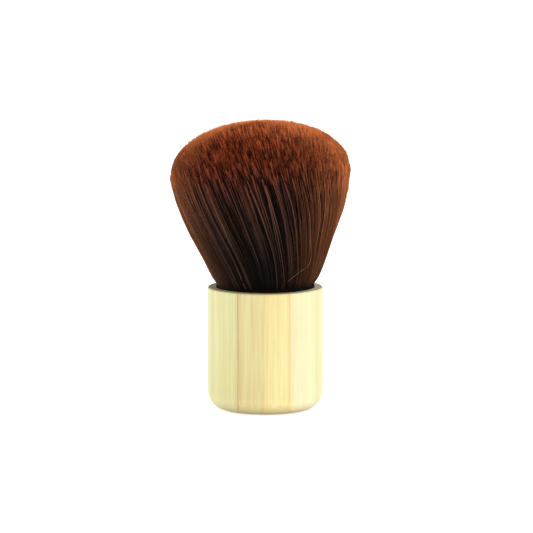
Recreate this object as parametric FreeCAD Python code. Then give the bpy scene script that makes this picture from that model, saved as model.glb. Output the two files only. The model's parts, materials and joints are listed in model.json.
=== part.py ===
import FreeCAD, Part
import math
import os
from FreeCAD import Vector

# Kabuki makeup brush: a dense domed tuft of hair set in a short turned bamboo handle.
# Millimetres, +Z up, origin at the centre of the flat base on which the brush stands.

# Handle, glued up from upright bamboo strips and then turned and bored
handle_diameter = 32.0
solid_base = 14.0  # bamboo left under the socket
base_round = 5.0  # rounding of the lower edge
rim_width = 2.3  # bamboo wall round the socket
rim_round = 0.5  # rounding of the rim's outer edge
strip_count = 6
turning_allowance = 5.45  # the glued block is this much wider on each side than the turned handle
strip_offset = -0.35  # middle of the glued block, across the brush

# Cup that carries the tuft, glued into the socket
glue_film = 0.2
glue_setback = 0.6  # the glue stops this far below the rim
cup_wall = 0.4
cup_floor = 1.2
cup_lip = 1.0  # how far the cup stands out of the rim

# Root of the tuft inside the cup
resin_depth = 5.0  # the hair is potted this deep
thread_rise = 1.5  # from the resin to the first turn of the tie
thread_diameter = 0.6
thread_turns = 5
thread_crown = 0.3  # share of its diameter by which each turn bulges
grip_depth = 9.1  # loose root between the tie and the rim
root_clearance = 0.05  # round the root, inside the cup

# Free hair above the rim
spill_height = 1.0  # the hair spreads over the lip within this height
spill_overhang = 1.0  # and then stands this far outside the cup
flare_height = 28.5  # from there to the widest place
flare_start = 0.42  # radius gained for each unit of height, at the spill
flare_end = 0.12  # and just below the widest place
tuft_diameter = 50.0
dome_height = 15.5  # from the widest place to the top
dome_fullness = 0.6  # 0.55 is a plain ellipse, more is squarer
tuft_lean = 3.0  # degrees, towards -X

# Bend of the hair, a ball-shaped parting about the point where the filaments bend
pivot_rise = 6.0  # from the cup's lip to the bending point
parting_rise = 6.0  # from the bending point to the parting at the tuft's side
parting_gap = 0.3

handle_radius = handle_diameter / 2
socket_radius = handle_radius - rim_width
cup_radius = socket_radius - glue_film
cup_bore = cup_radius - cup_wall
root_radius = cup_bore - root_clearance
tie_radius = root_radius - thread_diameter
tuft_radius = tuft_diameter / 2

cup_bottom = solid_base + glue_film
resin_bottom = cup_bottom + cup_floor
resin_top = resin_bottom + resin_depth
tie_bottom = resin_top + thread_rise
tie_top = tie_bottom + thread_turns * thread_diameter
rim = tie_top + grip_depth
lip = rim + cup_lip
pivot = lip + pivot_rise
spill_top = lip + spill_height
widest = spill_top + flare_height
tuft_top = widest + dome_height


def at(radius, height):
    """A point of an outline, in the plane that is turned about the brush's axis."""
    return Vector(radius, 0, height)


def line(start, end):
    return Part.LineSegment(start, end).toShape()


def path(*points):
    """Straight edges from point to point."""
    return [line(a, b) for a, b in zip(points, points[1:])]


def bend(centre, radius, start_angle, end_angle):
    """An arc of an outline about a centre, angles in degrees up from the outward direction."""
    angles = (start_angle, (start_angle + end_angle) / 2, end_angle)
    turns = [math.radians(angle) for angle in angles]
    points = [centre + at(radius * math.cos(a), radius * math.sin(a)) for a in turns]
    return Part.Arc(*points).toShape()


def bezier(*poles):
    curve = Part.BezierCurve()
    curve.setPoles(list(poles))
    return curve.toShape()


def turned(edges):
    """The solid that a closed outline makes when it is turned about the brush's axis."""
    face = Part.Face(Part.Wire(edges))
    return face.revolve(at(0, 0), Vector(0, 0, 1), 360)


def export(shape, node):
    shape.exportStep(f"parts/{node}.step")


def bamboo_block():
    """The turned and bored handle, before it is parted into its strips."""
    base_centre = at(handle_radius - base_round, base_round)
    rim_centre = at(handle_radius - rim_round, rim - rim_round)
    edges = path(at(0, 0), at(handle_radius - base_round, 0))
    edges.append(bend(base_centre, base_round, -90, 0))
    edges += path(at(handle_radius, base_round), at(handle_radius, rim - rim_round))
    edges.append(bend(rim_centre, rim_round, 0, 90))
    edges += path(
        at(handle_radius - rim_round, rim),
        at(socket_radius, rim),
        at(socket_radius, solid_base),
        at(0, solid_base),
        at(0, 0),
    )
    return turned(edges)


def strip_joints():
    """Where the glued joints lie across the handle, from -X to +X."""
    strip_width = (handle_diameter + 2 * turning_allowance) / strip_count
    places = [number - strip_count / 2 for number in range(1, strip_count)]
    return [strip_offset + place * strip_width for place in places]


def bamboo_strips():
    """The strips of the handle from -X to +X, which meet face to face."""
    block = bamboo_block()
    sides = [-handle_diameter, *strip_joints(), handle_diameter]
    strips = []
    for left, right in zip(sides, sides[1:]):
        slab = Part.makeBox(right - left, handle_diameter, rim, Vector(left, -handle_radius, 0))
        strips.append(block.common(slab))
    return strips


def hair_cup():
    """A thin cup with a full round lip."""
    lip_round = cup_wall / 2
    edges = path(at(0, cup_bottom), at(cup_radius, cup_bottom), at(cup_radius, lip - lip_round))
    edges.append(bend(at(cup_radius - lip_round, lip - lip_round), lip_round, 0, 180))
    edges += path(
        at(cup_bore, lip - lip_round),
        at(cup_bore, resin_bottom),
        at(0, resin_bottom),
        at(0, cup_bottom),
    )
    return turned(edges)


def cup_glue():
    """The film between the cup and its socket."""
    glue_top = rim - glue_setback
    return turned(
        path(
            at(0, solid_base),
            at(socket_radius, solid_base),
            at(socket_radius, glue_top),
            at(cup_radius, glue_top),
            at(cup_radius, cup_bottom),
            at(0, cup_bottom),
            at(0, solid_base),
        )
    )


def root_resin():
    """The cast plug that holds the ends of the hair."""
    return Part.makeCylinder(cup_bore, resin_depth, at(0, resin_bottom))


def tie_thread():
    """The wound and glued turns of thread round the root, as one band."""
    half = thread_diameter / 2
    edges = path(at(tie_radius, tie_bottom), at(tie_radius + half, tie_bottom))
    for turn in range(thread_turns):
        low = tie_bottom + turn * thread_diameter
        crown = at(tie_radius + half + thread_crown * thread_diameter, low + half)
        high = at(tie_radius + half, low + thread_diameter)
        edges.append(Part.Arc(at(tie_radius + half, low), crown, high).toShape())
    edges += path(at(tie_radius + half, tie_top), at(tie_radius, tie_top), at(tie_radius, tie_bottom))
    return turned(edges)


def flare_poles():
    """The outline of the tuft's side, from the spill to the widest place, evenly spaced in height."""
    mouth = cup_radius + spill_overhang
    third = flare_height / 3
    return (
        at(mouth, spill_top),
        at(mouth + flare_start * third, spill_top + third),
        at(tuft_radius - flare_end * third, widest - third),
        at(tuft_radius, widest),
    )


def flare_radius(height):
    """The tuft's radius at a height between the spill and the widest place."""
    share = (height - spill_top) / flare_height
    rest = 1 - share
    weights = (rest**3, 3 * rest**2 * share, 3 * rest * share**2, share**3)
    return sum(weight * pole.x for weight, pole in zip(weights, flare_poles()))


def whole_tuft():
    """The hair from its potted root to the top of the dome, upright."""
    poles = flare_poles()
    edges = path(
        at(0, resin_top),
        at(root_radius, resin_top),
        at(root_radius, tie_bottom),
        at(tie_radius, tie_bottom),
        at(tie_radius, tie_top),
        at(root_radius, tie_top),
        at(root_radius, lip),
        poles[0],
    )
    edges.append(bezier(*poles))
    edges.append(
        bezier(
            poles[3],
            at(tuft_radius, widest + dome_fullness * dome_height),
            at(tuft_radius * dome_fullness, tuft_top),
            at(0, tuft_top),
        )
    )
    edges += path(at(0, tuft_top), at(0, resin_top))
    return turned(edges)


def bending_core(clearance):
    """Everything inside the parting: a ball about the bending point, and all that is below it."""
    parting = pivot + parting_rise
    radius = math.hypot(flare_radius(parting), parting_rise) + clearance
    edges = path(at(0, 0), at(radius, 0), at(radius, pivot))
    edges.append(bend(at(0, pivot), radius, 0, 90))
    edges += path(at(0, pivot + radius), at(0, 0))
    return turned(edges)


os.makedirs("parts", exist_ok=True)

for count, strip in enumerate(bamboo_strips(), start=1):
    export(strip, f"bamboo_strip_{count}")

export(hair_cup(), "hair_cup")
export(cup_glue(), "cup_glue")
export(root_resin(), "root_resin")
export(tie_thread(), "tie_thread")

tuft = whole_tuft()
export(tuft.common(bending_core(0)), "hair_root")

hair_head = tuft.cut(bending_core(parting_gap))
hair_head.rotate(at(0, pivot), Vector(0, 1, 0), -tuft_lean)
export(hair_head, "hair_head")
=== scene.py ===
import json
import math
import bmesh
import bpy
from mathutils import Matrix, Vector


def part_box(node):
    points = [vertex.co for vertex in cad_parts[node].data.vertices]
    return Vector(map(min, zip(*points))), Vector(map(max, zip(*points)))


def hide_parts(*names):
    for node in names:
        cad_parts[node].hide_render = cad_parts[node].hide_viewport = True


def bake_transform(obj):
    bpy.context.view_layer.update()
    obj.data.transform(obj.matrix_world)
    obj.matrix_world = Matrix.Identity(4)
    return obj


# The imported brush, as the fixed frame that every piece below is fitted to.
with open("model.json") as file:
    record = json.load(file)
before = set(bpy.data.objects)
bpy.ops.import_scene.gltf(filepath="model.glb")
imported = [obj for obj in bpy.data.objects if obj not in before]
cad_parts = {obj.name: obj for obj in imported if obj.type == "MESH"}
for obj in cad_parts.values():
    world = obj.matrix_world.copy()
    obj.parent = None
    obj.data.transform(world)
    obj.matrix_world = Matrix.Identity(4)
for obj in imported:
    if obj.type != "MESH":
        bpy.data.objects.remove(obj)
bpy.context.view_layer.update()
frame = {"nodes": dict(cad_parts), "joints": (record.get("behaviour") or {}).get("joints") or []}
solids = frame["nodes"]
mm = 0.001

# Handle strips: six upright strips of pale bamboo, glued side by side into a block that is turned,
# rounded below and bored. Long fibres run up every strip, and a thin satin lacquer seals them.
# Each strip comes from another cane, so the tones differ a little from one to the next, and strips 1 and 6
# at the handle's sides are darker still as painted shade.
strip_tones_and_edge_shade = {
    "bamboo_strip_1": ((0.67, 0.68, 0.40), (0.63, 0.60, 0.32)),
    "bamboo_strip_2": ((0.69, 0.69, 0.37), (0.65, 0.58, 0.28)),
    "bamboo_strip_3": ((0.71, 0.65, 0.34), (0.63, 0.51, 0.24)),
    "bamboo_strip_4": ((0.76, 0.68, 0.34), (0.70, 0.56, 0.24)),
    "bamboo_strip_5": ((0.76, 0.71, 0.47), (0.72, 0.64, 0.36)),
    "bamboo_strip_6": ((0.67, 0.66, 0.40), (0.63, 0.60, 0.32)),
}

# How strongly the glue shows at a strip's left and right joint
faint_glue = (0.15, 0.15)
visible_glue = {"bamboo_strip_2": (0.15, 0.9), "bamboo_strip_3": (0.9, 0.15)}

# Colours and sizes of the bamboo's dark marks, and the width and length of its streaks
fibre_brown = (0.50, 0.36, 0.16, 1.0)
glue_line_brown = (0.36, 0.17, 0.10, 1.0)
# The end grain's brown, also used as painted shade under the handle
end_grain_and_shade_brown = (0.26, 0.20, 0.11, 1.0)
glue_line_width = 0.22 * mm
joint_stain_width = 1.6 * mm
grain_depth = 0.012 * mm
broad_tone = (2.4 * mm, 60 * mm)
fibre_bundle = (0.75 * mm, 30 * mm)
fine_fibre = (0.32 * mm, 14 * mm)
dark_dash = (0.30 * mm, 3.5 * mm)
end_pore = (0.34 * mm, 0.34 * mm)
glue_patch = (40 * mm, 7 * mm)


class Amount:
    """A number in a node tree. The usual signs work on it, and each adds a Math node."""

    def __init__(self, socket):
        self.socket = socket

    def math(self, operation, *others):
        node = place(self.socket.id_data, "ShaderNodeMath", [self, *others], operation=operation)
        return Amount(node.outputs[0])

    def __add__(self, other):
        return self.math("ADD", other)

    def __sub__(self, other):
        return self.math("SUBTRACT", other)

    def __mul__(self, other):
        return self.math("MULTIPLY", other)

    def __truediv__(self, other):
        return self.math("DIVIDE", other)

    def __pow__(self, other):
        return self.math("POWER", other)

    def __rsub__(self, other):
        return self * -1.0 + other

    __radd__ = __add__
    __rmul__ = __mul__

    def ease(self, start, end, low=0.0, high=1.0):
        """low up to start, high from end on, and a smooth change between them."""
        values = [self, start, end, low, high]
        node = place(self.socket.id_data, "ShaderNodeMapRange", values, interpolation_type="SMOOTHSTEP")
        return Amount(node.outputs[0])


def place(tree, kind, inputs=(), **settings):
    """A new node with its settings, whose inputs are fed from other nodes or set to plain values."""
    node = tree.nodes.new(kind)
    for name, setting in settings.items():
        setattr(node, name, setting)
    for key, value in inputs.items() if isinstance(inputs, dict) else enumerate(inputs):
        value = value.socket if isinstance(value, Amount) else value
        if isinstance(value, bpy.types.NodeSocket):
            tree.links.new(value, node.inputs[key])
        else:
            node.inputs[key].default_value = value
    return node


def streaks(tree, spot, width, length, detail=2.0):
    """Noise in streaks of this width and length that run up the piece."""
    stretch = (1 / width, 1 / width, 1 / length)
    scaled = place(tree, "ShaderNodeVectorMath", [spot, stretch], operation="MULTIPLY").outputs[0]
    noise = place(tree, "ShaderNodeTexNoise", {"Vector": scaled, "Scale": 1.0, "Detail": detail})
    return Amount(noise.outputs[0])


def tint(tree, share, below, above):
    """A colour that goes from one colour to another with a share."""
    return place(tree, "ShaderNodeMix", {0: share, 6: below, 7: above}, data_type="RGBA").outputs[2]


def group_with(name, kind, inputs, outputs):
    """An empty node group with named inputs and outputs, and its two end nodes' sockets."""
    group = bpy.data.node_groups.new(name, kind)
    for title, socket in inputs.items():
        group.interface.new_socket(title, in_out="INPUT", socket_type="NodeSocket" + socket)
    for title, socket in outputs.items():
        group.interface.new_socket(title, in_out="OUTPUT", socket_type="NodeSocket" + socket)
    return group, place(group, "NodeGroupInput").outputs, place(group, "NodeGroupOutput").inputs


def bamboo_fibre():
    """Colour, roughness and relief of one strip: long fibres, dark dashes, glue lines, end grain and
    painted shade on the faces that look down.
    """
    group, given, wanted = group_with(
        "bamboo_fibre",
        "ShaderNodeTree",
        {
            "Pale": "Color",
            "Warm": "Color",
            "Left Joint": "Float",
            "Right Joint": "Float",
            "Left Glue": "Float",
            "Right Glue": "Float",
            "Shift": "Vector",
        },
        {"Color": "Color", "Roughness": "Float", "Height": "Float"},
    )
    spot = place(group, "ShaderNodeTexCoord").outputs
    shifted = [spot["Object"], given["Shift"]]
    cane = place(group, "ShaderNodeVectorMath", shifted, operation="ADD").outputs[0]
    broad = streaks(group, cane, *broad_tone)
    bundles = streaks(group, cane, *fibre_bundle, detail=1.0)
    fine = streaks(group, cane, *fine_fibre, detail=3.0)
    dash = streaks(group, cane, *dark_dash).ease(0.60, 0.74)
    pores = streaks(group, cane, *end_pore).ease(0.48, 0.62)

    across = Amount(place(group, "ShaderNodeSeparateXYZ", [spot["Object"]]).outputs["X"])
    to_left = (across - Amount(given["Left Joint"])).math("ABSOLUTE")
    to_right = (across - Amount(given["Right Joint"])).math("ABSOLUTE")
    left_line = to_left.ease(0.0, glue_line_width, 1.0, 0.0) * Amount(given["Left Glue"])
    right_line = to_right.ease(0.0, glue_line_width, 1.0, 0.0) * Amount(given["Right Glue"])
    stain = to_left.math("MINIMUM", to_right).ease(0.0, joint_stain_width, 0.22, 0.0)
    patches = streaks(group, cane, *glue_patch).ease(0.38, 0.64, 0.4, 1.0)
    glue = (left_line + right_line) * patches

    facing = Amount(place(group, "ShaderNodeSeparateXYZ", [spot["Normal"]]).outputs["Z"])
    cut_end = facing.math("ABSOLUTE").ease(0.70, 0.96)
    # Painted shade: faces that look down are darkened towards the end grain's brown.
    underside_shade = (facing * -1.0).ease(0.2, 1.0, 0.0, 0.6)

    grain = (broad * 0.6 + bundles * 0.5 + fine * 0.8 + stain).ease(0.66, 1.24)
    side = tint(group, grain, given["Pale"], given["Warm"])
    side = tint(group, dash * 0.22, side, fibre_brown)
    end = tint(group, pores * 0.3 + 0.5, side, end_grain_and_shade_brown)
    colour = tint(group, underside_shade, tint(group, cut_end, side, end), end_grain_and_shade_brown)
    group.links.new(tint(group, glue, colour, glue_line_brown), wanted["Color"])
    group.links.new((fine * 0.25 + dash * 0.12 + 0.34).socket, wanted["Roughness"])
    group.links.new((fine - dash * 0.5 - glue * 0.8 - pores * cut_end).socket, wanted["Height"])
    return group


def finish(name):
    """A new material's node tree and its Principled shader."""
    material = bpy.data.materials.new(name)
    material.use_nodes = True
    return material, material.node_tree, material.node_tree.nodes["Principled BSDF"]


def set_values(shader, **values):
    """Plain values on a shader's own inputs, with _ for the spaces in their names."""
    for name, value in values.items():
        shader.inputs[name.replace("_", " ")].default_value = value


def relief(tree, shader, height, depth):
    """Small bumps of this depth on a surface."""
    bump = place(tree, "ShaderNodeBump", {"Height": height, "Distance": depth, "Strength": 1.0})
    tree.links.new(bump.outputs[0], shader.inputs["Normal"])


def dress(node, material):
    """Gives a carried-over solid its finish."""
    solids[node].data.materials.clear()
    solids[node].data.materials.append(material)


fibre = bamboo_fibre()
for number, (strip, (pale, warm)) in enumerate(strip_tones_and_edge_shade.items()):
    lowest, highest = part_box(strip)
    bamboo, tree, shader = finish(strip.replace("strip", "finish"))
    values = {
        "Pale": (*pale, 1.0),
        "Warm": (*warm, 1.0),
        "Left Joint": lowest.x,
        "Right Joint": highest.x,
        "Left Glue": visible_glue.get(strip, faint_glue)[0],
        "Right Glue": visible_glue.get(strip, faint_glue)[1],
        "Shift": (0.0, 0.31 * number, 0.17 * number),
    }
    look = place(tree, "ShaderNodeGroup", node_tree=fibre)
    for name, value in values.items():
        look.inputs[name].default_value = value
    tree.links.new(look.outputs["Color"], shader.inputs["Base Color"])
    tree.links.new(look.outputs["Roughness"], shader.inputs["Roughness"])
    relief(tree, shader, look.outputs["Height"], grain_depth)
    set_values(shader, Specular_IOR_Level=0.15, Coat_Weight=0.05, Coat_Roughness=0.4)
    dress(strip, bamboo)

# Hair cup: a thin black plastic cup, moulded in one piece, that holds the root of the tuft. It is
# glued into the handle, and only its matt lip shows above the rim.
cup_black, tree, shader = finish("cup_black")
spot = place(tree, "ShaderNodeTexCoord").outputs["Object"]
mould = streaks(tree, spot, 0.25 * mm, 0.25 * mm, detail=3.0)
shade = tint(tree, mould, (0.002, 0.002, 0.002, 1.0), (0.005, 0.0045, 0.004, 1.0))
tree.links.new(shade, shader.inputs["Base Color"])
tree.links.new((mould * 0.2 + 0.65).socket, shader.inputs["Roughness"])
relief(tree, shader, mould.socket, 0.004 * mm)
set_values(shader, Specular_IOR_Level=0.04)
dress("hair_cup", cup_black)

# Cup glue: the film of cream wood glue that fills the gap between the cup and its bore. It stops
# just below the rim.
cup_glue, tree, shader = finish("cup_glue_cream")
spot = place(tree, "ShaderNodeTexCoord").outputs["Object"]
clouds = streaks(tree, spot, 1.5 * mm, 1.5 * mm, detail=3.0)
shade = tint(tree, clouds, (0.60, 0.53, 0.37, 1.0), (0.78, 0.73, 0.58, 1.0))
tree.links.new(shade, shader.inputs["Base Color"])
tree.links.new((clouds * 0.3 + 0.35).socket, shader.inputs["Roughness"])
dress("cup_glue", cup_glue)

# Root resin: amber resin that is poured into the cup's bottom and sets round the ends of the hair.
# It is the plug that keeps the filaments from being pulled out.
resin_amber, tree, shader = finish("root_resin_amber")
spot = place(tree, "ShaderNodeTexCoord").outputs["Object"]
flow = streaks(tree, spot, 3.0 * mm, 1.2 * mm, detail=2.0)
shade = tint(tree, flow, (0.30, 0.17, 0.05, 1.0), (0.52, 0.34, 0.12, 1.0))
tree.links.new(shade, shader.inputs["Base Color"])
tree.links.new((flow * 0.1 + 0.08).socket, shader.inputs["Roughness"])
dress("root_resin", resin_amber)

# Tie thread: a few turns of natural thread that bind the root of the tuft before it is potted. They
# are wound tight, glued and hidden inside the cup.
thread_natural, tree, shader = finish("tie_thread_natural")
spot = place(tree, "ShaderNodeTexCoord").outputs["Object"]
twist = streaks(tree, spot, 0.12 * mm, 0.25 * mm, detail=3.0)
shade = tint(tree, twist, (0.52, 0.47, 0.38, 1.0), (0.80, 0.76, 0.68, 1.0))
tree.links.new(shade, shader.inputs["Base Color"])
tree.links.new((twist * 0.2 + 0.7).socket, shader.inputs["Roughness"])
relief(tree, shader, twist.socket, 0.03 * mm)
dress("tie_thread", thread_natural)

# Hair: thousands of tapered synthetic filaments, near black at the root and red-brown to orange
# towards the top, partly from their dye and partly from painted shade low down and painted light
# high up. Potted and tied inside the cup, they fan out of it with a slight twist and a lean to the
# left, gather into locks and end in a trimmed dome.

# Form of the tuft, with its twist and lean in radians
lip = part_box("hair_cup")[1].z
tuft_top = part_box("hair_head")[1].z
pivot = Vector(frame["joints"][0]["pos_m"])
tuft_radius = 25.2 * mm
dome_height = 15.5 * mm
dome_power = 2.15
mouth_height = lip + 1.0 * mm
mouth_radius = 14.6 * mm
mouth_tuck = 1.0 * mm
tuck_start = lip - 1.8 * mm
tuck_end = lip + 2.8 * mm
flare_swell = 1.07 * mm
swell_foot = 0.33
swell_growth = 1.33
hair_twist = 0.36
tuft_lean = math.radians(3.0)
lean_height = 14 * mm

# Single strands: how far they cross their neighbours, in radians, and how many are loose or pale
strand_crossing = 0.004
wisp_crossing = 0.05
loose_crossing = 0.12
loose_share = 0.06
pale_share = 0.04
longest_reach = 1.006
tip_taper = 0.4
dome_slope = 0.62
lay_share = 0.8
strand_traits = ("turn", "share", "reach", "tone", "twist")

# The dye, by its height in the tuft, with painted shade low down and painted light high up, and the painted
# orange glow of the strands' flanks
root_black = (0.0016, 0.0016, 0.0016)
dusty_tan = (0.24, 0.13, 0.095, 1.0)
dye_shade_foot = 0.05
dye_shade_span = 0.92
tip_lift = 0.08
foot_shade_amount = 0.25
mean_tone = 0.47
# Dye and painted shade: far darker low down and lighter high up than the dye alone, standing for the shade
# and light on the tuft.
dye_and_shade = (
    (0.05, (0.0010, 0.0008, 0.0007)),
    (0.20, (0.0032, 0.0022, 0.0018)),
    (0.37, (0.0130, 0.0070, 0.0052)),
    (0.55, (0.0265, 0.0106, 0.0070)),
    (0.67, (0.0390, 0.0132, 0.0086)),
    (0.75, (0.0660, 0.0168, 0.0086)),
    (0.85, (0.1180, 0.0235, 0.0090)),
    (0.94, (0.1680, 0.0330, 0.0105)),
    (1.00, (0.2500, 0.0580, 0.0190)),
)
painted_glow_orange = (1.0, 0.285, 0.085, 1.0)
flank_turn = 0.25
glow_columns = 8
tone_columns = 16

# Streaks that climb the dome from its front, back and two sides
streak_width = 0.32 * mm
streak_length = 3.6 * mm
streak_lean = 0.25
streak_fan = 0.2
top_climb = 0.13
side_sector = 0.55
sector_blur = 4 * mm


def flare(along):
    """Radius of the tuft at a share of a strand's length, for plain numbers and for node amounts."""
    swell = along * (1.0 - along) * (along * swell_growth + swell_foot) * (4 * flare_swell)
    return along * (tuft_radius - mouth_radius) + mouth_radius + swell


def crown(share):
    """Height of the dome over its widest place, as a share of the whole dome, at a share of its radius."""
    return (1.0 - share**dome_power) ** (1 / dome_power)


def dye_with_shade(tree, height):
    """Colour of the hair at a height in the tuft, from 0 at the cup to 1 above the top: its dye, with
    painted shade low down and painted light high up.
    """
    ramp = place(tree, "ShaderNodeValToRGB", [height])
    for stop, (level, colour) in enumerate(dye_and_shade):
        if stop > 1:
            ramp.color_ramp.elements.new(level)
        ramp.color_ramp.elements[stop].position = level
        ramp.color_ramp.elements[stop].color = (*colour, 1.0)
    return ramp.outputs[0]


def dye_shade_height(rise):
    """Place in the dye and painted shade of a height above the floor."""
    return (rise - lip) / (tuft_top - lip) * dye_shade_span + dye_shade_foot


def hair_finish():
    """Hair colour from the strand's own map: across it the flank's painted glow and the tone, up it the
    place in the dye and painted shade.
    """
    material, tree, shader = finish("hair_brown")
    strand_map = place(tree, "ShaderNodeUVMap", uv_map="OFBake").outputs[0]
    split = place(tree, "ShaderNodeSeparateXYZ", [strand_map]).outputs
    level = Amount(split["X"]) * glow_columns
    flank = level.math("FLOOR") / (glow_columns - 1)
    tone = level.math("FRACT")
    height = Amount(split["Y"])
    # The strands' tones differ most on the sides and are more even on the dome.
    even = height.ease(0.62, 0.95)
    gain = (tone * (1.9 - even * 0.6) + (0.15 + even * 0.27)) ** 2.2
    base = dye_with_shade(tree, split["Y"])
    lit = place(tree, "ShaderNodeVectorMath", [base, gain], operation="MULTIPLY").outputs[0]
    strand = place(tree, "ShaderNodeVectorMath", [lit, root_black], operation="ADD").outputs[0]
    # The flanks carry a painted orange glow, stronger towards the tips.
    painted_tip_glow = height.ease(0.5, 0.75, 0.16, 0.65)
    glow = flank * (height * 0.95 + painted_tip_glow) * (tone * 0.9 + 0.45)
    strand = tint(tree, glow, strand, painted_glow_orange)
    dusty = tone.ease(0.93, 0.97) * (0.25 - even * 0.15)
    colour = tint(tree, dusty, strand, dusty_tan)
    tree.links.new(colour, shader.inputs["Base Color"])
    set_values(
        shader,
        Roughness=0.5,
        Specular_IOR_Level=0.01,
        Sheen_Weight=0.5,
        Sheen_Roughness=0.36,
        Sheen_Tint=(1.0, 0.40, 0.15, 1.0),
    )
    return material


def strand_tree():
    """Geometry nodes for one bundle of strands: placed on points, bent to the tuft's fan and coloured."""
    tree, given, wanted = group_with(
        "hair_strands",
        "GeometryNodeTree",
        {
            "Strands": "Int",
            "Rings": "Int",
            "Thickness": "Float",
            "Inner Share": "Float",
            "Outer Share": "Float",
            "Start": "Float",
            "Ring Spacing": "Float",
            "Ragged": "Float",
            "Ragged Power": "Float",
            "Lock Width": "Float",
            "Lock Pull": "Float",
            "Wisp Width": "Float",
            "Lock Tone": "Float",
            "Wisp Tone": "Float",
            "Streak Tone": "Float",
            "Own Tone": "Float",
            "Left Flank": "Float",
            "Right Flank": "Float",
            "Gather": "Float",
            "Drift": "Float",
            "Seed": "Int",
            "Finish": "Material",
        },
        {"Hair": "Geometry"},
    )
    size = {name: Amount(given[name]) for name in given.keys() if name and name != "Finish"}

    def chance(low, high, draw):
        values = {2: low, 3: high, 8: size["Seed"] + draw}
        return Amount(place(tree, "FunctionNodeRandomValue", values).outputs[1])

    def kept(name):
        return Amount(place(tree, "GeometryNodeInputNamedAttribute", {"Name": name}).outputs[0])

    def keep(geometry, name, value, **kind):
        values = {"Geometry": geometry, "Name": name, "Value": value}
        return place(tree, "GeometryNodeStoreNamedAttribute", values, **kind).outputs[0]

    def vector(x, y, z):
        return place(tree, "ShaderNodeCombineXYZ", [x, y, z]).outputs[0]

    def axes(socket):
        split = place(tree, "ShaderNodeSeparateXYZ", [socket]).outputs
        return Amount(split["X"]), Amount(split["Y"]), Amount(split["Z"])

    def patches(turn, share, level, spread):
        """Noise over the plan of the tuft, in patches of this spread."""
        radius = share * tuft_radius
        plan = vector(radius * turn.math("COSINE"), radius * turn.math("SINE"), level)
        scale = spread**-1.0
        return place(tree, "ShaderNodeTexNoise", {"Vector": plan, "Scale": scale, "Detail": 1.0}).outputs

    def combed(turn, share):
        """Noise in fine streaks that climb the dome from its front, back and two sides."""
        x = share * turn.math("COSINE") * tuft_radius
        y = share * turn.math("SINE") * tuft_radius
        edge = x.math("ABSOLUTE") * side_sector + chance(-sector_blur, sector_blur, 10)
        front = y.math("ABSOLUTE").math("GREATER_THAN", edge)
        beside = 1.0 - front
        inward = front * y + beside * x
        aside = front * x - beside * y
        climb = crown(share) * dome_height + (tuft_radius - inward.math("ABSOLUTE")) * top_climb
        aside = aside - inward.math("SIGN") * climb * streak_lean
        aside = aside / (climb * (streak_fan / dome_height) + 1.0)
        # The front, the back and the two sides each have their own slice of the noise.
        spot = vector(aside / streak_width, climb / streak_length, front * 9.0 + inward.math("SIGN") * 4.0)
        noise = place(tree, "ShaderNodeTexNoise", {"Vector": spot, "Scale": 1.0, "Detail": 1.0})
        return Amount(noise.outputs[0])

    turn = chance(0.0, 2 * math.pi, 1)
    inner = size["Inner Share"] ** 2.0
    outer = size["Outer Share"] ** 2.0
    share = (inner + (outer - inner) * chance(0.0, 1.0, 2)) ** 0.5
    lock = Amount(patches(turn, share, 3 * mm, size["Lock Width"])[0])
    wobble_x, wobble_y = axes(patches(turn, share, 9 * mm, size["Wisp Width"] * 3.0)[1])[:2]
    place_x = (share * turn.math("COSINE") * tuft_radius / size["Wisp Width"]) + wobble_x * 2.0
    place_y = (share * turn.math("SINE") * tuft_radius / size["Wisp Width"]) + wobble_y * 2.0
    cell_x = place_x.math("FLOOR")
    cell_y = place_y.math("FLOOR")
    wisp = vector(cell_x, cell_y, 0.0)

    def wisp_chance(draw):
        values = {"Vector": wisp, "W": draw}
        return Amount(place(tree, "ShaderNodeTexWhiteNoise", values, noise_dimensions="4D").outputs[0])

    gather = size["Gather"]
    gathered_x = place_x + (cell_x + 0.5 - place_x) * gather - wobble_x * 2.0
    gathered_y = place_y + (cell_y + 0.5 - place_y) * gather - wobble_y * 2.0
    radius = (gathered_x**2.0 + gathered_y**2.0) ** 0.5
    share = (radius * size["Wisp Width"] / tuft_radius).math("MINIMUM", 0.999)
    turn = gathered_y.math("ARCTAN2", gathered_x)
    short = wisp_chance(2.5) * 0.7 + chance(0.0, 0.3, 3)
    reach = longest_reach - size["Ragged"] * short ** size["Ragged Power"]
    loose = chance(0.0, 1.0, 8).math("GREATER_THAN", 1 - loose_share)
    crossing = (wisp_chance(4.5) - 0.5) * wisp_crossing + loose * chance(-loose_crossing, loose_crossing, 9)
    twist = chance(-strand_crossing, strand_crossing, 7) + crossing + hair_twist
    tone = (lock - 0.5) * size["Lock Tone"] + (wisp_chance(3.5) - 0.5) * size["Wisp Tone"]
    tone = tone + (combed(turn - twist, share) - 0.5) * size["Streak Tone"]
    tone = tone + chance(-0.5, 0.5, 4) * size["Own Tone"] + mean_tone
    pale = chance(0.0, 1.0, 5).math("GREATER_THAN", 1 - pale_share)
    tone = (tone.ease(0.0, 1.0, 0.0, 0.92) + pale).math("MINIMUM", 0.99)

    points = place(tree, "GeometryNodePoints", {"Count": size["Strands"]}).outputs[0]
    for name, amount in zip(strand_traits, (turn, share, reach, tone, twist)):
        points = keep(points, name, amount)
    blank = place(tree, "GeometryNodeMeshCylinder", [3, size["Rings"] - 1.0, 1, 1.0, 1.0]).outputs[0]
    around = place(tree, "GeometryNodeInputPosition").outputs[0]
    blank = keep(blank, "around", around, data_type="FLOAT_VECTOR")
    face_x, face_y = axes(place(tree, "GeometryNodeInputNormal").outputs[0])[:2]
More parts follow.
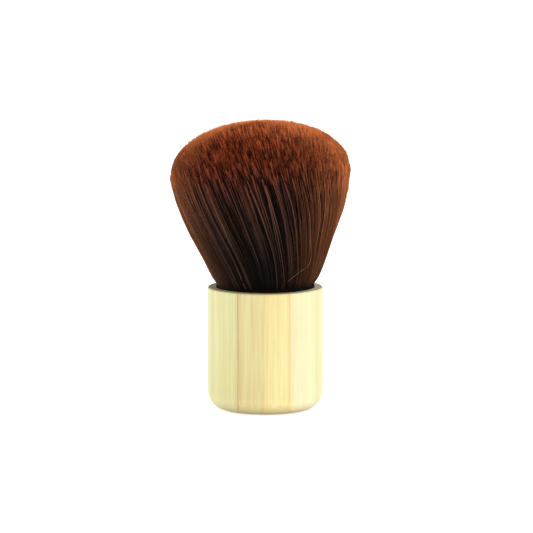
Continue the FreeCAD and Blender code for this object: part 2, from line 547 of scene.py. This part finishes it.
    # Painted glow: each strand's two side faces are marked so that the finish paints them orange.
    blank = keep(blank, "flank", face_x.math("GREATER_THAN", 0.25) * face_y.math("SIGN"), domain="FACE")
    on_points = {"Points": points, "Instance": blank}
    strands = place(tree, "GeometryNodeInstanceOnPoints", on_points).outputs[0]
    hair = place(tree, "GeometryNodeRealizeInstances", [strands]).outputs[0]

    root_turn, share, reach, tone, twist = (kept(name) for name in strand_traits)
    corner = place(tree, "GeometryNodeInputNamedAttribute", {"Name": "around"}, data_type="FLOAT_VECTOR")
    corner_x, corner_y, corner_z = axes(corner.outputs[0])
    along = size["Start"] + (reach - size["Start"]) * (corner_z + 0.5) ** size["Ring Spacing"]
    pull_x, pull_y = axes(patches(root_turn, share, along * (3 * mm), size["Lock Width"])[1])[:2]
    own_noise = vector(along * 2.5, root_turn * 900.0, share * 900.0)
    sway = place(tree, "ShaderNodeTexNoise", {"Vector": own_noise, "Scale": 1.0}).outputs[1]
    sway_x, sway_y = axes(sway)[:2]
    grip = along.ease(0.0, 0.35, 0.2, 1.0) * size["Lock Pull"]
    wander = along.ease(0.0, 0.4) * size["Drift"]
    aside = (pull_x - 0.5) * grip + (sway_x - 0.5) * wander
    dip = ((pull_y - 0.4) * grip * 0.6).math("MAXIMUM", 0.0)
    inward = dip + (sway_y - 0.4).math("MAXIMUM", 0.0) * wander

    dome = crown(share)
    tip = dome * dome_height + (tuft_top - dome_height)
    rise = along * (tip - mouth_height) + mouth_height
    tuck = rise.ease(tuck_start, tuck_end, mouth_tuck, 0.0)
    fan = flare(along) - tuck - inward
    turn = root_turn - along * twist + aside / (share * fan + 2 * mm)

    flank = kept("flank")
    # The painted glow is stronger on the left flanks than on the right.
    right_glow = flank.math("MAXIMUM", 0.0) * size["Right Flank"]
    left_glow = (flank * -1.0).math("MAXIMUM", 0.0) * size["Left Flank"]
    glow = ((right_glow + left_glow) * (glow_columns - 0.01)).math("FLOOR")
    column = (tone * tone_columns).math("FLOOR") + corner_y * 0.45 + 0.5
    map_u = (glow + column / tone_columns) / glow_columns
    # Painted shade: the strands' lower ends, deep inside the tuft, are moved down the dye and so darkened.
    foot_shade = (along - size["Start"]).ease(0.0, 0.1, foot_shade_amount, 0.0)
    map_v = dye_shade_height(rise) + along.ease(0.8, 1.0, 0.0, tip_lift) + corner_x * 0.008 - foot_shade
    hair = keep(hair, "OFBake", vector(map_u, map_v, 0.0), data_type="FLOAT2", domain="CORNER")

    taper = along.ease(0.75, 1.02, 1.0, tip_taper) * size["Thickness"] * 0.5
    east = share * fan * turn.math("COSINE")
    north = share * fan * turn.math("SINE")
    face_turn = turn + (math.pi + flank_turn)
    section_x = corner_x * face_turn.math("COSINE") - corner_y * face_turn.math("SINE")
    section_y = corner_x * face_turn.math("SINE") + corner_y * face_turn.math("COSINE")
    upright = vector(east + section_x * taper, north + section_y * taper, rise)
    lean = rise.ease(lip, lip + lean_height, 0.0, -tuft_lean)
    leant = place(tree, "ShaderNodeVectorRotate", [upright, pivot, (0.0, 1.0, 0.0), lean]).outputs[0]
    hair = place(tree, "GeometryNodeSetPosition", {"Geometry": hair, "Position": leant}).outputs[0]

    near_tip = along.ease(0.7, 1.0)
    outward = near_tip * (share ** (dome_power - 1) * dome_slope - 1.0) + 1.0
    upward = near_tip * (dome ** (dome_power - 1) + 0.3) - 0.3
    lay = vector(outward * turn.math("COSINE"), outward * turn.math("SINE"), upward)
    lay = place(tree, "ShaderNodeVectorMath", [lay], operation="NORMALIZE").outputs[0]
    own = place(tree, "GeometryNodeInputNormal").outputs[0]
    mixed = place(tree, "ShaderNodeMix", {0: lay_share, 4: own, 5: lay}, data_type="VECTOR").outputs[1]
    normals = {"Mesh": hair, "Custom Normal": mixed}
    hair = place(tree, "GeometryNodeSetMeshNormal", normals, mode="TANGENT_SPACE").outputs[0]
    dressed = {"Geometry": hair, "Material": given["Finish"]}
    hair = place(tree, "GeometryNodeSetMaterial", dressed).outputs[0]
    tree.links.new(hair, wanted["Hair"])
    return tree


def plain_mesh(maker):
    """What an object's modifiers or bevel make, as a plain mesh. The object itself is taken away."""
    bpy.context.scene.collection.objects.link(maker)
    bpy.context.view_layer.update()
    graph = bpy.context.evaluated_depsgraph_get()
    ready = maker.evaluated_get(graph)
    mesh = bpy.data.meshes.new_from_object(ready, preserve_all_data_layers=True, depsgraph=graph)
    bpy.data.objects.remove(maker)
    return mesh


def set_hair(name, mesh):
    """A piece of the tuft, as an object of its own."""
    mesh.name = name
    piece = bpy.data.objects.new(name, mesh)
    bpy.context.scene.collection.objects.link(piece)
    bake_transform(piece)
    return piece


def hair_bundle(name, tree, **sizes):
    """A bundle of strands of these sizes."""
    maker = bpy.data.objects.new(name + "_strands", bpy.data.meshes.new(name + "_blank"))
    modifier = maker.modifiers.new("strands", "NODES")
    modifier.node_group = tree
    for item in tree.interface.items_tree:
        if item.in_out == "INPUT":
            modifier[item.identifier] = sizes[item.name.replace(" ", "_").lower()]
    mesh = plain_mesh(maker)
    for trait in (*strand_traits, "around", "flank"):
        if trait in mesh.attributes:
            mesh.attributes.remove(mesh.attributes[trait])
    set_hair(name, mesh)


strands = strand_tree()
side_bundles = 5
dome_bundles = 5
every_strand = {
    "thickness": 0.15 * mm,
    "lock_width": 2.4 * mm,
    "wisp_width": 0.38 * mm,
    "drift": 0.25 * mm,
    "finish": hair_finish(),
}
side_sizes = {
    "strands": 3500,
    "rings": 10,
    "inner_share": 0.90,
    "outer_share": 1.0,
    "start": -0.07,
    "ring_spacing": 1.6,
    "ragged": 0.12,
    "ragged_power": 1.8,
    "gather": 0.4,
    "lock_pull": 2.6 * mm,
    "lock_tone": 0.5,
    "wisp_tone": 1.0,
    "streak_tone": 1.7,
    "own_tone": 0.3,
    "left_flank": 1.0,
    "right_flank": 0.42,
}
dome_sizes = {
    "strands": 18000,
    "rings": 2,
    "inner_share": 0.0,
    "outer_share": 0.97,
    "start": 0.74,
    "ring_spacing": 1.0,
    "ragged": 0.035,
    "ragged_power": 1.0,
    "gather": 0.1,
    "lock_pull": 0.8 * mm,
    "lock_tone": 0.4,
    "wisp_tone": 0.15,
    "streak_tone": 1.9,
    "own_tone": 0.1,
    "left_flank": 0.52,
    "right_flank": 0.42,
}
for number in range(1, side_bundles + 1):
    hair_bundle(f"hair_side_{number}", strands, seed=100 * number, **side_sizes, **every_strand)
for number in range(1, dome_bundles + 1):
    hair_bundle(f"hair_dome_{number}", strands, seed=1000 * number, **dome_sizes, **every_strand)

# Stray hair: one loose filament, paler than the rest and kinked near its foot. It lies on the right
# of the tuft's front, with both of its ends tucked in among the strands.
stray_width = 0.10 * mm

# From its upper end to its foot, in millimetres
stray_path = (
    (11.9, -17.6, 58.0),
    (12.0, -19.6, 56.0),
    (12.25, -16.5, 49.5),
    (12.3, -12.9, 43.0),
    (11.9, -12.7, 41.8),
    (9.2, -13.7, 39.7),
    (6.5, -14.1, 37.6),
    (5.9, -13.2, 37.0),
)
stray_curve = bpy.data.curves.new("stray_curve", "CURVE")
stray_curve.dimensions = "3D"
stray_curve.bevel_depth = stray_width / 2
stray_curve.bevel_resolution = 1
stray_curve.use_fill_caps = True
stray_line = stray_curve.splines.new("BEZIER")
stray_line.bezier_points.add(len(stray_path) - 1)
for point, spot in zip(stray_line.bezier_points, stray_path):
    point.co = Vector(spot) * mm
    point.handle_left_type = "AUTO"
    point.handle_right_type = "AUTO"
stray_mesh = plain_mesh(bpy.data.objects.new("stray_curve", stray_curve))
stray_tan, tree, shader = finish("stray_hair_tan")
spot = place(tree, "ShaderNodeTexCoord").outputs["Object"]
fade = streaks(tree, spot, 1.5 * mm, 4 * mm)
shade = tint(tree, fade.ease(0.35, 0.65), (0.10, 0.048, 0.030, 1.0), (0.21, 0.120, 0.080, 1.0))
tree.links.new(shade, shader.inputs["Base Color"])
set_values(shader, Roughness=0.45, Specular_IOR_Level=0.2)
stray_mesh.materials.clear()
stray_mesh.materials.append(stray_tan)
set_hair("hair_stray", stray_mesh)

# Hair core: the dense inner hair behind the strands, as one dark closed form. It fills the tuft up
# to a millimetre below its surface and ends in the cup, between the potted filaments. Its colour is
# the hair's dye darkened towards near black, as painted shade of the inner hair.
core_inset = 1.2 * mm
core_drop = 0.85 * mm
core_foot = 12.2 * mm
core_tuck = 2 * mm
core_rings = 36
core_sides = 96


def core_outline():
    """Radius and height of the inner form, from its foot in the cup to its top."""
    outline = [(core_foot, lip - core_tuck), (core_foot, lip)]
    widest = tuft_top - dome_height
    roundness = 2 / dome_power
    for ring in range(core_rings + 1):
        along = ring / core_rings
        outline.append((flare(along) - core_inset, mouth_height + along * (widest - mouth_height)))
    for ring in range(1, core_rings):
        angle = ring / core_rings * math.pi / 2
        radius = (tuft_radius - core_inset) * math.cos(angle) ** roundness
        outline.append((radius, widest + (dome_height - core_drop) * math.sin(angle) ** roundness))
    return outline


core_mesh = bmesh.new()
rings = []
for radius, height in core_outline():
    ring = []
    share = min(max((height - lip) / lean_height, 0.0), 1.0)
    lean = Matrix.Rotation(-tuft_lean * share * share * (3 - 2 * share), 3, "Y")
    for side in range(core_sides):
        turn = 2 * math.pi * side / core_sides
        upright = Vector((radius * math.cos(turn), radius * math.sin(turn), height))
        ring.append(core_mesh.verts.new(lean @ (upright - pivot) + pivot))
    rings.append(ring)
for below, above in zip(rings, rings[1:]):
    for side in range(core_sides):
        after = (side + 1) % core_sides
        core_mesh.faces.new((below[side], below[after], above[after], above[side]))
core_mesh.faces.new(list(reversed(rings[0])))
core_mesh.faces.new(rings[-1])
core_data = bpy.data.meshes.new("hair_core")
core_mesh.to_mesh(core_data)
core_mesh.free()
for face in core_data.polygons:
    face.use_smooth = True
core_shaded_brown, tree, shader = finish("hair_core_brown")
spot = place(tree, "ShaderNodeTexCoord").outputs["Object"]
depth = streaks(tree, spot, 0.3 * mm, 6 * mm, detail=3.0)
height = Amount(place(tree, "ShaderNodeSeparateXYZ", [spot]).outputs["Z"])
# Painted shade: the dye is mixed at a tenth to three fifths into near black.
shade = tint(tree, depth.ease(0.35, 0.65, 0.1, 0.6), (*root_black, 1.0), dye_with_shade(tree, dye_shade_height(height)))
tree.links.new(shade, shader.inputs["Base Color"])
set_values(shader, Roughness=0.8, Specular_IOR_Level=0.05)
core_data.materials.append(core_shaded_brown)
hair_core = set_hair("hair_core", core_data)
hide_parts("hair_root", "hair_head")

# Studio: a white sweep as floor, soft white light from all round, a large soft light in front to the
# right and two behind the brush that light the edges of the hair.
floor_data = bpy.data.meshes.new("floor")
floor_reach = 6.0
floor_drop = 0.05 * mm
floor_data.from_pydata(
    [(x * floor_reach, y * floor_reach, -floor_drop) for x, y in ((-1, -1), (1, -1), (1, 1), (-1, 1))],
    [],
    [(0, 1, 2, 3)],
)
floor = bpy.data.objects.new("floor", floor_data)
bpy.context.scene.collection.objects.link(floor)
floor_white, tree, shader = finish("floor_white")
set_values(
    shader,
    Base_Color=(0.85, 0.85, 0.85, 1.0),
    Roughness=0.9,
    Specular_IOR_Level=0.0,
    Emission_Color=(1.0, 1.0, 1.0, 1.0),
    Emission_Strength=0.60,
)
floor_data.materials.append(floor_white)

world = bpy.data.worlds.new("studio")
world.use_nodes = True
world.node_tree.nodes["Background"].inputs["Color"].default_value = (1.0, 1.0, 1.0, 1.0)
world.node_tree.nodes["Background"].inputs["Strength"].default_value = 0.48
bpy.context.scene.world = world
bpy.context.scene.view_settings.view_transform = "Standard"

middle = Vector((0.0, 0.0, 40 * mm))
# Place, width and power of each light
soft_lights = {
    "front_right_light": ((0.45, -0.75, 0.55), 0.5, 4.0),
    "back_left_light": ((-0.80, 0.36, 0.30), 0.6, 4.4),
    "back_right_light": ((0.62, 0.42, 0.72), 0.6, 6.0),
}
for name, (spot, width, power) in soft_lights.items():
    light = bpy.data.lights.new(name, "AREA")
    light.shape = "DISK"
    light.size = width
    light.energy = power
    lamp = bpy.data.objects.new(name, light)
    lamp.location = spot
    lamp.rotation_euler = (middle - lamp.location).to_track_quat("-Z", "Y").to_euler()
    bpy.context.scene.collection.objects.link(lamp)

camera_rise = math.radians(7.6)
camera_distance = 0.9
aim = Vector((0.33 * mm, 0.0, 39.5 * mm))
camera_data = bpy.data.cameras.new("photo_camera")
camera_data.lens = 220.0
camera_data.sensor_width = 36.0
camera_data.clip_start = 0.01
camera = bpy.data.objects.new("photo_camera", camera_data)
camera.location = aim + camera_distance * Vector((0.0, -math.cos(camera_rise), math.sin(camera_rise)))
camera.rotation_euler = (aim - camera.location).to_track_quat("-Z", "Y").to_euler()
bpy.context.scene.collection.objects.link(camera)
bpy.context.scene.camera = camera
